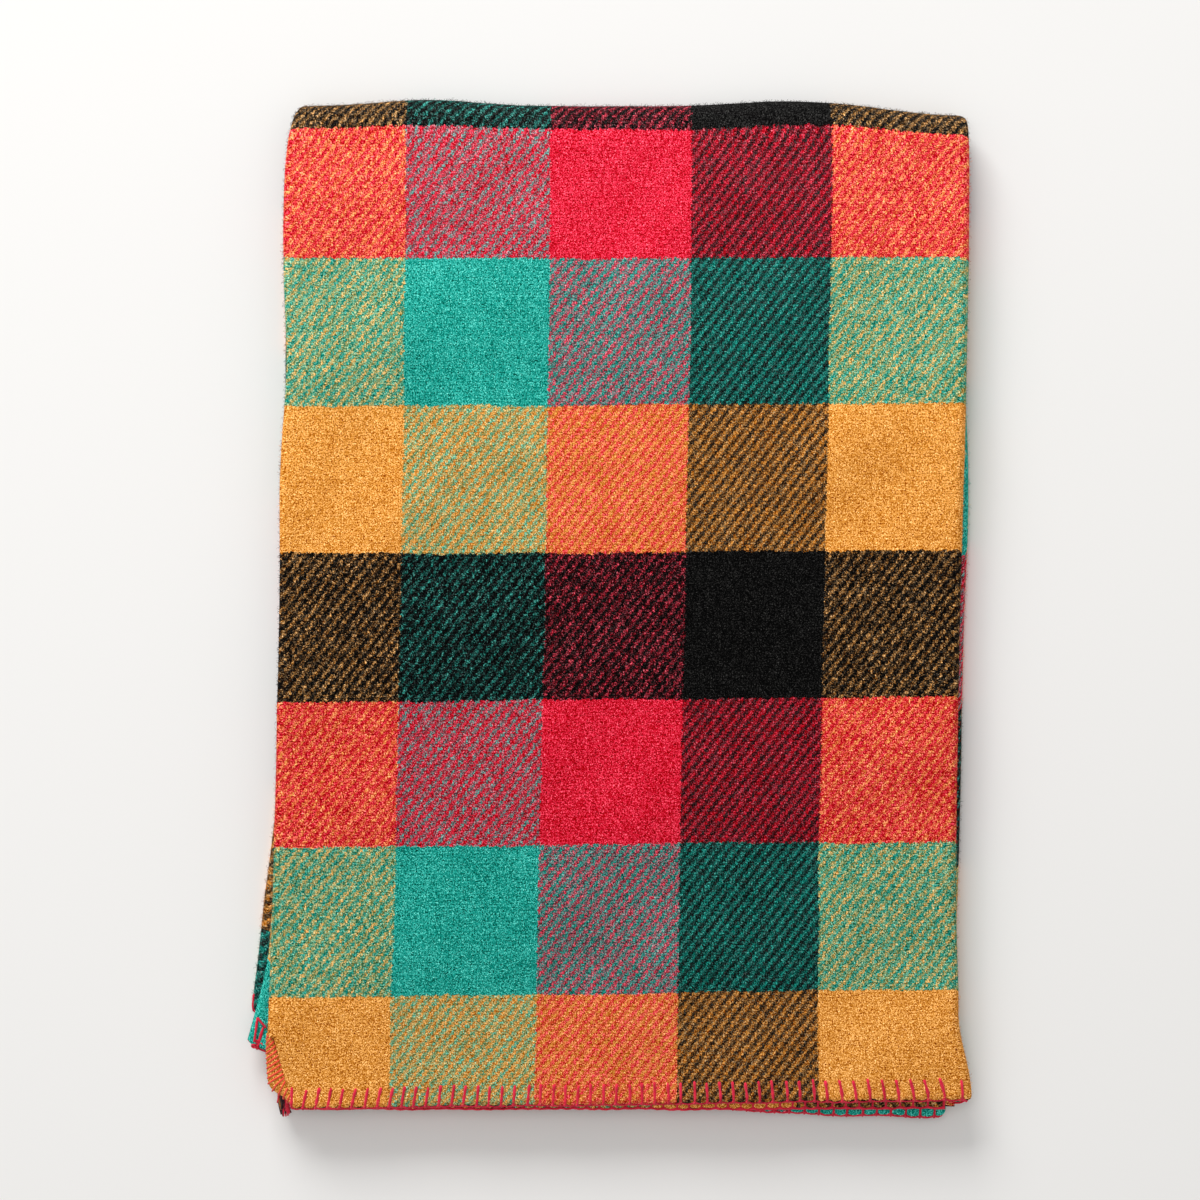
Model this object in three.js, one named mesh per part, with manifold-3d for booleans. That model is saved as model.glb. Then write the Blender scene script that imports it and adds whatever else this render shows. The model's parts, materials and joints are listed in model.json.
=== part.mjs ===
// Camp blanket: one napped wool cloth, folded lengthwise in thirds and then crosswise in half.
// Millimetres, +Z up. The origin is under the middle of the folded blanket, +Y towards the
// crosswise fold, and the blanket rests on z = 0.

import * as THREE from 'three';
import { mergeVertices } from 'three/addons/utils/BufferGeometryUtils.js';
import Module from 'manifold-3d';

const wasm = await Module();
wasm.setup();

// Folded size.
const FOLDED_WIDTH = 550;
const FOLDED_LENGTH = 811;
const UPPER_HEM_SETBACK = 8;
const CLOTH_THICKNESS = 4.8;
const LAYER_GAP = 0.6;
const LAYERS_PER_HALF = 3;

// Lengthwise folds: the left third tucks inside the right third.
const LEFT_THIRD_EDGE_INSET = 11;
const RIGHT_THIRD_EDGE_INSET = 8;

// The two halves don't lie square on each other.
const UPPER_LEAN = 8;
const LOWER_DRIFT = 26;
const DRIFT_POWER = 5;
const LOWER_HEM_SLOPE = 0.1;

// Hem: a band pressed thin under blanket stitches.
const HEM_BAND = 17.5;
const YARN_DIAMETER = 2.6;
const LEG_WIDTH = 2.2;
const LEG_THICKNESS = 1.0;
const STITCH_PITCH = 10.1;
const SEAT_GAP = 0.3;

// Loose yarn end at the upper hem's left corner.
const YARN_END_INSET = 16;
const YARN_END_SPREAD = 9;

// Fineness.
const BEND_SEGMENTS = 8;
const LENGTH_STEPS = 8;
const YARN_SIDES = 8;
const JOIN_OVERLAP = 0.5;

// Derived places, with heights measured from the plane between the two halves.
const layerPitch = CLOTH_THICKNESS + LAYER_GAP;
const rightLevel = (LAYER_GAP + CLOTH_THICKNESS) / 2;
const leftLevel = rightLevel + layerPitch;
const outerLevel = leftLevel + layerPitch;
const halfHeight = LAYERS_PER_HALF * layerPitch - LAYER_GAP / 2;
const foldY = FOLDED_LENGTH / 2 - halfHeight;
const purlDepth = SEAT_GAP + YARN_DIAMETER;
const lowerLength = FOLDED_LENGTH - halfHeight - purlDepth;
const upperLength = lowerLength - UPPER_HEM_SETBACK;
const halfWidth = FOLDED_WIDTH / 2;
const leftBendX = -halfWidth + (layerPitch + CLOTH_THICKNESS) / 2;
const rightBendX = halfWidth - layerPitch - CLOTH_THICKNESS / 2;
const leftThirdEdgeX = halfWidth - LEFT_THIRD_EDGE_INSET;
const rightThirdEdgeX = -halfWidth + RIGHT_THIRD_EDGE_INSET;
const hemThickness = CLOTH_THICKNESS - 2 * (LEG_THICKNESS + SEAT_GAP);
const sidewaysOffset = (LOWER_DRIFT - (CLOTH_THICKNESS - YARN_DIAMETER) / 2) / 2;

function material(color, roughness) {
  return new THREE.MeshStandardMaterial({ color, roughness, metalness: 0 });
}

// Centreline of the folded cloth across its width, with unit normals, for one half.
// From the left third's free edge, round the left bend, along the outer panel, round the
// right bend, to the right third's free edge.
function foldedPath() {
  const path = [{ x: leftThirdEdgeX, z: leftLevel, nx: 0, nz: -1 }];
  const leftRadius = layerPitch / 2;
  for (let i = 0; i <= BEND_SEGMENTS; i++) {
    const angle = -Math.PI / 2 - (Math.PI * i) / BEND_SEGMENTS;
    const nx = Math.cos(angle);
    const nz = Math.sin(angle);
    path.push({ x: leftBendX + leftRadius * nx, z: leftLevel + leftRadius + leftRadius * nz, nx, nz });
  }
  for (let i = 0; i <= BEND_SEGMENTS; i++) {
    const angle = Math.PI / 2 - (Math.PI * i) / BEND_SEGMENTS;
    const nx = Math.cos(angle);
    const nz = Math.sin(angle);
    path.push({ x: rightBendX + layerPitch * nx, z: leftLevel + layerPitch * nz, nx, nz });
  }
  path.push({ x: rightThirdEdgeX, z: rightLevel, nx: 0, nz: -1 });
  return path;
}

// Cross-section of the folded cloth, as thick as given.
function foldedShape(thickness, side) {
  const path = foldedPath();
  const half = thickness / 2;
  const inner = [];
  const outer = [];
  path.forEach((p) => {
    outer.push(new THREE.Vector2(p.x + p.nx * half, side * (p.z + p.nz * half)));
    inner.push(new THREE.Vector2(p.x - p.nx * half, side * (p.z - p.nz * half)));
  });
  return new THREE.Shape([...outer, ...inner.reverse()]);
}

function extrude(shape, depth, steps) {
  return new THREE.ExtrudeGeometry(shape, { depth, steps, bevelEnabled: false });
}

// Turns a section drawn in x, z and extruded into one that runs along -Y from startY.
function layAlongY(geometry, startY) {
  geometry.rotateX(Math.PI / 2);
  geometry.translate(0, startY, 0);
  return geometry;
}

function toSolid(geometry) {
  const bare = geometry.clone();
  bare.deleteAttribute('normal');
  bare.deleteAttribute('uv');
  const merged = mergeVertices(bare, 1e-4);
  const mesh = new wasm.Mesh({
    numProp: 3,
    vertProperties: new Float32Array(merged.attributes.position.array),
    triVerts: new Uint32Array(merged.index.array),
  });
  return new wasm.Manifold(mesh);
}

function toGeometry(solid) {
  const mesh = solid.getMesh();
  const geometry = new THREE.BufferGeometry();
  geometry.setAttribute('position', new THREE.BufferAttribute(new Float32Array(mesh.vertProperties), 3));
  geometry.setIndex(new THREE.BufferAttribute(new Uint32Array(mesh.triVerts), 1));
  return geometry;
}

function union(geometries) {
  const solids = geometries.map(toSolid);
  return toGeometry(wasm.Manifold.union(solids));
}

// Moves a half's points in plan to where it lies. The upper half leans a little, and the
// lower half drifts to the left towards its hem, which slopes.
function settle(geometry, side) {
  const position = geometry.attributes.position;
  const reach = side > 0 ? upperLength : lowerLength;
  for (let i = 0; i < position.count; i++) {
    const x = position.getX(i);
    const y = position.getY(i);
    const along = Math.max(0, (foldY - y) / reach);
    if (side > 0) {
      position.setX(i, x - UPPER_LEAN * along);
    } else {
      position.setX(i, x - LOWER_DRIFT * along ** DRIFT_POWER);
      position.setY(i, y + LOWER_HEM_SLOPE * (halfWidth - x) * along);
    }
  }
  geometry.translate(sidewaysOffset, 0, halfHeight);
  geometry.computeVertexNormals();
  return geometry;
}

function addMesh(parent, name, geometry, look) {
  const mesh = new THREE.Mesh(geometry, look);
  mesh.name = name;
  parent.add(mesh);
}

// One half of the folded cloth: three layers, thinner in the hem band.
function halfCloth(side) {
  const reach = side > 0 ? upperLength : lowerLength;
  const bodyLength = reach - HEM_BAND - LAYER_GAP / 2;
  const startY = foldY - LAYER_GAP / 2;
  const body = layAlongY(extrude(foldedShape(CLOTH_THICKNESS, side), bodyLength, LENGTH_STEPS), startY);
  const bandStart = startY - bodyLength + JOIN_OVERLAP;
  const band = extrude(foldedShape(hemThickness, side), HEM_BAND + JOIN_OVERLAP, 1);
  return settle(union([body, layAlongY(band, bandStart)]), side);
}

// The cloth where it turns over at the crosswise fold: the section rolled round the fold axis.
function foldBend() {
  const geometry = extrude(foldedShape(CLOTH_THICKNESS, 1), Math.PI, 2 * BEND_SEGMENTS);
  const position = geometry.attributes.position;
  for (let i = 0; i < position.count; i++) {
    const radius = position.getY(i);
    const angle = position.getZ(i);
    position.setY(i, foldY + radius * Math.sin(angle));
    position.setZ(i, -radius * Math.cos(angle));
  }
  geometry.translate(sidewaysOffset, 0, halfHeight);
  geometry.computeVertexNormals();
  return geometry;
}

function yarnSection() {
  const section = new THREE.Shape();
  section.absarc(0, 0, YARN_DIAMETER / 2, 0, 2 * Math.PI, false);
  return section;
}

function yarnAlong(points, steps) {
  const curve = points.length > 2 ? new THREE.CatmullRomCurve3(points) : new THREE.LineCurve3(...points);
  const options = { extrudePath: curve, steps, curveSegments: YARN_SIDES / 2, bevelEnabled: false };
  return new THREE.ExtrudeGeometry(yarnSection(), options);
}

// The purl: the yarn that runs along the edge of the hem, through all three layers.
function purlRuns(side, purlY) {
  const path = foldedPath().map((p) => new THREE.Vector3(p.x, purlY, side * p.z));
  const count = BEND_SEGMENTS + 1;
  const leftBend = path.slice(1, 1 + count);
  const rightBend = path.slice(1 + count, 1 + 2 * count);
  const runs = [
    [path[0], leftBend[0]],
    [leftBend[count - 1], rightBend[0]],
    [rightBend[count - 1], path[path.length - 1]],
  ];
  const straight = runs.map((ends) => yarnAlong(ends, 1));
  return [...straight, yarnAlong(leftBend, BEND_SEGMENTS), yarnAlong(rightBend, BEND_SEGMENTS)];
}

// One stitch: a leg that lies on the hem band and turns down over the edge to the purl.
function stitch(side, hemY, purlY) {
  const top = outerLevel + CLOTH_THICKNESS / 2;
  const under = top - LEG_THICKNESS;
  const inside = hemY + HEM_BAND - SEAT_GAP;
  const front = hemY - SEAT_GAP;
  const corners = [
    [inside, top],
    [purlY, top],
    [purlY, outerLevel],
    [front, outerLevel],
    [front, under],
    [inside, under],
  ];
  const shape = new THREE.Shape(corners.map(([y, z]) => new THREE.Vector2(y, side * z)));
  const leg = extrude(shape, LEG_WIDTH, 1);
  // The section is drawn in y, z, and its depth runs along x.
  const turn = new THREE.Matrix4().set(0, 0, 1, 0, 1, 0, 0, 0, 0, 1, 0, 0, 0, 0, 0, 1);
  leg.applyMatrix4(turn);
  return leg;
}

function hemYarn(side) {
  const reach = side > 0 ? upperLength : lowerLength;
  const hemY = foldY - reach;
  const purlY = hemY - SEAT_GAP - YARN_DIAMETER / 2;
  const run = rightBendX - leftBendX - LEG_WIDTH;
  const count = Math.floor(run / STITCH_PITCH);
  const pitch = run / count;
  const pieces = purlRuns(side, purlY);
  for (let i = 0; i <= count; i++) {
    pieces.push(stitch(side, hemY, purlY).translate(leftBendX + i * pitch, 0, 0));
  }
  return settle(union(pieces), side);
}

// The loose end of the upper hem's yarn, at the right third's free corner.
function yarnEnd() {
  const hemY = foldY - upperLength;
  const startY = hemY - purlDepth - SEAT_GAP;
  const x = -halfWidth + YARN_END_INSET;
  const radius = YARN_DIAMETER / 2;
  const points = [
    new THREE.Vector3(x, startY - radius, rightLevel),
    new THREE.Vector3(x - YARN_END_SPREAD / 3, startY - 2 * radius, rightLevel + radius / 2),
    new THREE.Vector3(x - YARN_END_SPREAD, startY - 2 * radius, rightLevel - radius),
  ];
  return settle(yarnAlong(points, BEND_SEGMENTS), 1);
}

const cloth = () => material(0xb8432f, 0.95);
const yarn = () => material(0xb3122a, 0.85);

const group = new THREE.Group();
addMesh(group, 'lower_half', halfCloth(-1), cloth());
addMesh(group, 'fold_bend', foldBend(), material(0x1c1a1c, 0.95));
addMesh(group, 'lower_hem_yarn', hemYarn(-1), yarn());

const upper = new THREE.Group();
addMesh(upper, 'upper_half', halfCloth(1), cloth());
addMesh(upper, 'upper_hem_yarn', hemYarn(1), yarn());
addMesh(upper, 'yarn_end', yarnEnd(), yarn());
group.add(upper);

export default group;
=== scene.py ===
"""Camp blanket: looks for the folded, blanket-stitched wool cloth, in metres."""
import json
import math
import random

import bpy
import numpy as np
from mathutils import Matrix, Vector


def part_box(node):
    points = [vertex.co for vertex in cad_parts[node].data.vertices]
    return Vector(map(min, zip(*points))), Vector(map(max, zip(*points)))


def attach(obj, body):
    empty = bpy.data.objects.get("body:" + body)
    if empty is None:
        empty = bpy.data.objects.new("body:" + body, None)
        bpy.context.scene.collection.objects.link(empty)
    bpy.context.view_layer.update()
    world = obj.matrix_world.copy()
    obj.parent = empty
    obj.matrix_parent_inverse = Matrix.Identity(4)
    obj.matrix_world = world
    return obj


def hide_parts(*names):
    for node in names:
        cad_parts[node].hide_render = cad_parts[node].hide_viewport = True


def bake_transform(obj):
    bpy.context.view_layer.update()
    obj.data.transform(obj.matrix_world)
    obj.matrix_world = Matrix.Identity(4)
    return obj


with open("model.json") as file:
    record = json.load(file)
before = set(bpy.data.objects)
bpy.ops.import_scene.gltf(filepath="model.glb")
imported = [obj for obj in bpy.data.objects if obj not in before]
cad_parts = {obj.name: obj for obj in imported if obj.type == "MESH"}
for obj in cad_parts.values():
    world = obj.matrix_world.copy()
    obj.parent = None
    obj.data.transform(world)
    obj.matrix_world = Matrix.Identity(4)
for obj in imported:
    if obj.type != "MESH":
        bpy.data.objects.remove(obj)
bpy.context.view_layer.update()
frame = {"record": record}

# ---------------------------------------------------------------- places from the frame
FOLD_LOW, FOLD_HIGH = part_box("fold_bend")
HINGE = frame["record"]["behaviour"]["joints"][0]["pos_m"]
FOLD_Y, MIDDLE_Z = HINGE[1], HINGE[2]
LEFT_X, RIGHT_X = FOLD_LOW.x, FOLD_HIGH.x
PANEL_WIDTH = RIGHT_X - LEFT_X

# ---------------------------------------------------------------- the cloth
THICKNESS = 0.0048
LAYER_GAP = 0.0006
LAYER_PITCH = THICKNESS + LAYER_GAP
RIGHT_LEVEL = LAYER_PITCH / 2
LEFT_LEVEL = RIGHT_LEVEL + LAYER_PITCH
OUTER_LEVEL = LEFT_LEVEL + LAYER_PITCH
LEFT_RADIUS = LAYER_PITCH / 2
RIGHT_RADIUS = LAYER_PITCH
LEFT_BEND_X = LEFT_X + LEFT_RADIUS + THICKNESS / 2
RIGHT_BEND_X = RIGHT_X - RIGHT_RADIUS - THICKNESS / 2
LEFT_THIRD_INSET, RIGHT_THIRD_INSET = 0.011, 0.008
LEFT_THIRD_EDGE_X = RIGHT_X - LEFT_THIRD_INSET
RIGHT_THIRD_EDGE_X = LEFT_X + RIGHT_THIRD_INSET

# Distances along the folded section, from the left third's free edge.
LEFT_THIRD_END = LEFT_THIRD_EDGE_X - LEFT_BEND_X
OUTER_START = LEFT_THIRD_END + math.pi * LEFT_RADIUS
OUTER_END = OUTER_START + RIGHT_BEND_X - LEFT_BEND_X
RIGHT_THIRD_START = OUTER_END + math.pi * RIGHT_RADIUS
SECTION_END = RIGHT_THIRD_START + RIGHT_BEND_X - RIGHT_THIRD_EDGE_X

# The check: warp stripes across, weft rows along from the upper hem.
STRIPES = [0.1136, 0.1160, 0.1128, 0.1120]
FIRST_STRIPE_EDGE_X = -0.1644
ROWS = [0.088, 0.120, 0.116, 0.118, 0.118, 0.118, 0.101, 0.122] + [0.117] * 5 + [0.064]
CLOTH_END = sum(ROWS)
HIDDEN_TUCK = 0.0496
MIDDLE_V = 0.809
WARP_PITCH, WEFT_PITCH = 0.00208, 0.00268

# The colours and all their mixing are square roots of reflectance, and are squared at the end.
GOLD = (0.900, 0.565, 0.205)
TEAL = (0.040, 0.570, 0.508)
RED = (0.820, 0.010, 0.130)
BLACK = (0.024, 0.022, 0.024)
CHECK_COLOURS = [GOLD, TEAL, RED, BLACK]
# How far each colour's threads cover the ones that they cross.
COVERS = [0.035, 0.0, 0.060, 0.240]
WARP_SHARE = 0.34
DARKEST = (0.030, 0.030, 0.030)
# How strongly each pattern sways which thread shows, and how pale the wool is.
LIFT = {"twill": 0.30, "nap": 2.6, "uneven": 0.36, "fleck": 0.30, "patches": 0.40}
# The thread entry is painted shade along each thread's sides.
SHADE = {"grain": 1.70, "uneven": 0.10, "fleck": 0.38, "fibres": 1.00, "thread": -0.12, "cloud": 0.14}
NOISE_MEAN = 0.505

# The crosswise fold.
INNER_GAP = 0.00025
ROLL_GROWTH = 0.7
SWELL_REACH = 0.045
SWELL_HEIGHT = 0.0014
FLOOR_CLEARANCE = 0.0001

# Hems and their stitches.
STITCH_PITCH = 0.0102
STITCH_STRAY = 0.0006
UPPER_FIRST_STITCH, LOWER_FIRST_STITCH = 0.0162, 0.0030
STITCH_DEPTH = 0.0155
STITCH_LEAN = 0.0034
YARN_RADIUS = 0.00118
CORNER_RISE = 0.056
CORNER_REACH = 0.0165
PINCHED_HALF, PUFF = 0.00065, 0.00185
PINCH_REACH, PINCH_FADE = 0.0095, 0.0085
EDGE_ROUNDING, SIDE_ROUNDING = 0.0034, 0.004

# The whipped corner.
ROLL_TOP_Y, ROLL_LENGTH = -0.3390, 0.0575
WHIPPING_TURNS, WHIPPING_RADIUS, WHIPPING_SLANT = 15, 0.00066, 0.0024

# The nap.
QUICK_FIBRES, ALL_FIBRES = 3000, 14000
NAP_SHORTEST, NAP_LONGEST = 0.0008, 0.0034
NAP_RADIUS = 0.00013
MIDDLE_MARGIN = 0.0002
ON_LEFT_BEND, ON_RIGHT_BEND, ON_FOLD, ON_HEM, ON_PANEL, ON_THIRD = range(6)
NAP_SHARES = [0.26, 0.17, 0.20, 0.12, 0.20, 0.05]


def smooth(t):
    t = np.clip(t, 0.0, 1.0)
    return t * t * (3 - 2 * t)


def waves(seed, count, shortest, longest):
    """A smooth random field of x and y, between about -1 and 1."""
    draw = random.Random(seed)
    terms = []
    for _ in range(count):
        length = shortest * (longest / shortest) ** draw.random()
        heading = draw.uniform(0, math.pi)
        terms.append((math.cos(heading) / length, math.sin(heading) / length, draw.uniform(0, 2 * math.pi)))

    def field(x, y):
        total = sum(np.sin(2 * math.pi * (a * x + b * y) + c) for a, b, c in terms)
        return total / math.sqrt(count)

    return field


SWELL = waves(3, 9, 0.09, 0.4)
RIPPLE = waves(5, 10, 0.02, 0.06)
HEM_WANDER = waves(11, 6, 0.05, 0.3)


def section(p):
    """The folded section at distance p: x, height over the middle, normal, and layer from 0 to 2."""
    p = np.asarray(p, float)
    left_turn = -math.pi / 2 - (p - LEFT_THIRD_END) / LEFT_RADIUS
    right_turn = math.pi / 2 - (p - OUTER_END) / RIGHT_RADIUS
    in_left = (p >= LEFT_THIRD_END) & (p < OUTER_START)
    in_outer = (p >= OUTER_START) & (p < OUTER_END)
    in_right = (p >= OUTER_END) & (p < RIGHT_THIRD_START)
    places = [p < LEFT_THIRD_END, in_left, in_outer, in_right]
    x = np.select(
        places,
        [
            LEFT_THIRD_EDGE_X - p,
            LEFT_BEND_X + LEFT_RADIUS * np.cos(left_turn),
            LEFT_BEND_X + p - OUTER_START,
            RIGHT_BEND_X + RIGHT_RADIUS * np.cos(right_turn),
        ],
        RIGHT_BEND_X - (p - RIGHT_THIRD_START),
    )
    height = np.select(
        places,
        [
            np.full_like(p, LEFT_LEVEL),
            LEFT_LEVEL + LEFT_RADIUS * (1 + np.sin(left_turn)),
            np.full_like(p, OUTER_LEVEL),
            LEFT_LEVEL + RIGHT_RADIUS * np.sin(right_turn),
        ],
        RIGHT_LEVEL,
    )
    nx = np.select(places, [0 * p, np.cos(left_turn), 0 * p, np.cos(right_turn)], 0.0)
    nz = np.select(places, [0 * p - 1, np.sin(left_turn), 0 * p + 1, np.sin(right_turn)], -1.0)
    into_outer = smooth((p - LEFT_THIRD_END) / (OUTER_START - LEFT_THIRD_END))
    into_right = smooth((p - OUTER_END) / (RIGHT_THIRD_START - OUTER_END))
    return x, height, nx, nz, into_outer + into_right


def mix3(layer, left, outer, right):
    """A value for the left third, the outer panel and the right third, blended in the bends."""
    return np.where(layer < 1, left + (outer - left) * layer, outer + (right - outer) * (layer - 1))


def upper_hem_y(x, layer):
    across = (x - LEFT_X) / PANEL_WIDTH
    left = -0.3988 + 0.0005 * across
    outer = -0.3983 + 0.0072 * across
    right = -0.3965 + 0.0020 * across
    return mix3(layer, left, outer, right) + 0.0005 * HEM_WANDER(x, 0.3 * layer)


def lower_hem_y(x, layer):
    across = np.clip((x - LEFT_X) / PANEL_WIDTH, 0, 1)
    fold = -0.3225 - 0.0800 * (1 - (1 - across) ** 1.9)
    right = -0.3500 - 0.0575 * (1 - (1 - across) ** 1.8) + 0.004 * np.exp(-(x - RIGHT_THIRD_EDGE_X) / 0.004)
    return mix3(layer, fold + 0.001, fold, right) + 0.0008 * HEM_WANDER(x, 2 + 0.3 * layer)


def corner_rise(p):
    """How far the upper hem is drawn up where the cloth turns over at its left corner."""
    middle = (LEFT_THIRD_END + OUTER_START) / 2
    half_bend = (OUTER_START - LEFT_THIRD_END) / 2
    away = (np.abs(p - middle) - half_bend) / CORNER_REACH
    return CORNER_RISE * np.clip(1 - away, 0, 1)


def bell(x, middle, width):
    return np.exp(-(((x - middle) / width) ** 2))


def ramp(t, softness):
    """Nothing below 0 and t above it, with a soft start."""
    return (t + np.sqrt(t * t + softness * softness)) / 2


def crest(x):
    """How far the crosswise fold swells or drops along its length."""
    swell = 0.0044 * bell(x, -0.148, 0.055) + 0.0034 * bell(x, 0.140, 0.055)
    return 0.0004 + swell - 0.0062 * smooth((x - 0.180) / 0.100)


def sideways(x, d, upper, layer):
    """How far a point of the blanket lies from its square place, at distance d from the crosswise fold."""
    across = (x - LEFT_X) / PANEL_WIDTH
    reach = np.clip(d, 0, None)
    third = np.clip(layer - 1, 0, 1)
    upper_left = -0.0126 * (reach / 0.740) ** 2.2 * (1 - third)
    upper_right = 0.0010 - 0.0110 * smooth(reach / 0.620)
    lower_left = -0.090 * ramp(d - 0.465, 0.05) - 0.200 * third * ramp(d - 0.667, 0.015)
    lower_left = lower_left - 0.0028 * bell(d, 0.630, 0.045)
    lower_left = lower_left - 0.080 * (1 - third) * ramp(d - 0.640, 0.012)
    lower_right = -0.0015 + 0.0038 * bell(reach, 0.30, 0.08) - 0.0135 * (reach / 0.780) ** 4
    left, right = np.where(upper, upper_left, lower_left), np.where(upper, upper_right, lower_right)
    near_left = np.exp(-across * PANEL_WIDTH / 0.030)
    near_right = np.exp(-(1 - across) * PANEL_WIDTH / 0.045)
    rounding = 0.0105 * np.exp(-(np.clip(d, -0.016, None) + 0.012) / 0.024)
    dent = 0.0036 * bell(reach, 0.190, 0.055) - 0.0012 * bell(reach, 0.290, 0.050)
    flare = 0.0125 * smooth((reach - 0.710) / 0.070) + 0.0020 * bell(reach, 0.700, 0.040)
    corner = -0.0035 * np.exp(-(np.clip(d, -0.016, None) + 0.012) / 0.015)
    local_left = (rounding + np.where(upper, dent, 0)) * near_left
    local_right = (corner + np.where(upper, flare, 0)) * near_right
    return left * (1 - across) + right * across + local_left + local_right


def quarter_turn(height):
    """The length of cloth in a quarter of the crosswise fold at this height over the middle."""
    stretch = 1 + ROLL_GROWTH * (height / OUTER_LEVEL) ** 2
    return math.pi / 2 * height * np.sqrt((stretch**2 + 1) / 2)


def place(p, v, offset):
    """Where the cloth's point (p across, v along, offset from its middle) lies in the folded blanket."""
    p, v, offset = np.broadcast_arrays(np.asarray(p, float), np.asarray(v, float), np.asarray(offset, float))
    x0, height, nx, nz, layer = section(p)
    radius = np.maximum(height + nz * offset, INNER_GAP)
    x0 = x0 + nx * offset
    upper = v < MIDDLE_V
    quarter = quarter_turn(height + THICKNESS / 2)
    from_middle = np.abs(v - MIDDLE_V)
    turn = np.clip(1 - from_middle / quarter, 0, 1) * math.pi / 2
    roll = 1 + ROLL_GROWTH * (radius / OUTER_LEVEL) ** 2
    start_y = FOLD_Y - (roll - 1) * radius
    hem = np.where(upper, upper_hem_y(x0, layer), lower_hem_y(x0, layer))
    end_v = np.where(upper, 0.0, CLOTH_END)
    flat = np.abs(MIDDLE_V - end_v) - quarter
    down = (from_middle - quarter) / flat
    y = np.where(turn > 0, start_y + roll * radius * np.sin(turn), start_y - down * (start_y - hem))
    near_fold = smooth(1 - (FOLD_Y + OUTER_LEVEL - y) / SWELL_REACH)
    y = y + crest(x0) * near_fold * radius / OUTER_LEVEL
    rise = radius * np.cos(turn)
    d = FOLD_Y - y
    x = x0 + sideways(x0, d, upper, layer)
    full = rise / MIDDLE_Z
    settle = -0.0030 * bell(d, -0.010, 0.055) - 0.0008 * bell(d, 0.80, 0.05)
    swell = np.where(upper, (SWELL_HEIGHT * SWELL(x, y) + settle) * full, 0)
    z = MIDDLE_Z + np.where(upper, rise, -rise) + swell
    return x, y, np.maximum(z, FLOOR_CLEARANCE)


def check_numbers(w, v):
    """Which stripe and which row a point lies in, as numbers that grow evenly through each."""
    edges, repeat = np.cumsum([0.0] + STRIPES), sum(STRIPES)
    stripe = 4 * np.floor(w / repeat) + np.interp(np.mod(w, repeat), edges, np.arange(5))
    row = np.interp(v, np.cumsum([0.0] + ROWS), np.arange(len(ROWS) + 1))
    return np.column_stack((stripe, row))


def stripe_coordinate(p):
    """Distance across the warp stripes. A tuck hidden inside the left bend takes up some cloth."""
    across = LEFT_BEND_X - FIRST_STRIPE_EDGE_X + STRIPES[0] + (p - OUTER_START)
    tuck_p = LEFT_THIRD_END + 0.55 * (OUTER_START - LEFT_THIRD_END)
    return across - np.where(p < tuck_p, HIDDEN_TUCK, 0)


# ---------------------------------------------------------------- mesh helpers
def mesh_object(name, points, faces, uvs=None, bake_loops=None):
    """A mesh object. uvs hold metres of cloth, one pair for each vertex, and bake_loops a map for baking."""
    mesh = bpy.data.meshes.new(name)
    mesh.from_pydata(np.asarray(points, float).tolist(), [], faces)
    mesh.update()
    if uvs is not None:
        corner_vertices = np.zeros(len(mesh.loops), int)
        mesh.loops.foreach_get("vertex_index", corner_vertices)
        uvs = np.asarray(uvs, float)
        for map_name, values in (("Cloth", uvs), ("Check", check_numbers(uvs[:, 0], uvs[:, 1]))):
            layer = mesh.uv_layers.new(name=map_name)
            layer.data.foreach_set("uv", values[corner_vertices].astype(np.float32).ravel())
    if bake_loops is not None:
        bake_map = mesh.uv_layers.new(name="OFBake")
        bake_map.data.foreach_set("uv", np.asarray(bake_loops, np.float32).ravel())
    mesh.polygons.foreach_set("use_smooth", [True] * len(mesh.polygons))
    obj = bpy.data.objects.new(name, mesh)
    bpy.context.scene.collection.objects.link(obj)
    return obj


class Builder:
    """Gathers many small closed shapes into one mesh."""

    def __init__(self):
        self.points, self.faces, self.uvs = [], [], []

    def tube(self, path, radii, sides=8, lobes=0.0, twist=0.0, flat=1.0):
        """A closed tube along path. lobes and twist give it the look of plied yarn."""
        path = np.asarray(path, float)
        radii = np.broadcast_to(np.asarray(radii, float), (len(path),))
        flat = np.broadcast_to(np.asarray(flat, float), (len(path),))
        tangents = np.gradient(path, axis=0)
        tangents /= np.maximum(np.linalg.norm(tangents, axis=1), 1e-12)[:, None]
        across = np.cross(tangents[0], (0.0, 0.0, 1.0))
        if np.linalg.norm(across) < 1e-3:
            across = np.array((1.0, 0.0, 0.0))
        first = len(self.points)
        run = 0.0
        for i, (q, t, r) in enumerate(zip(path, tangents, radii)):
            across = across - t * np.dot(across, t)
            across /= np.linalg.norm(across)
            other = np.cross(t, across)
            run += 0.0 if i == 0 else float(np.linalg.norm(q - path[i - 1]))
            for k in range(sides):
                a = 2 * math.pi * k / sides
                grow = r * (1 + lobes * math.cos(2 * (a - twist * run)))
                self.points.append(q + across * grow * math.cos(a) + other * grow * flat[i] * math.sin(a))
                self.uvs.append((run, k / sides * 0.004))
        for i in range(len(path) - 1):
            for k in range(sides):
                a, b = first + i * sides + k, first + i * sides + (k + 1) % sides
                self.faces.append((a, b, b + sides, a + sides))
        last = first + (len(path) - 1) * sides
        self.faces.append(tuple(first + k for k in reversed(range(sides))))
        self.faces.append(tuple(last + k for k in range(sides)))

    def make(self, name):
        self.points = [(x, y, max(z, FLOOR_CLEARANCE)) for x, y, z in self.points]
        return mesh_object(name, self.points, self.faces, self.uvs)


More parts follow.
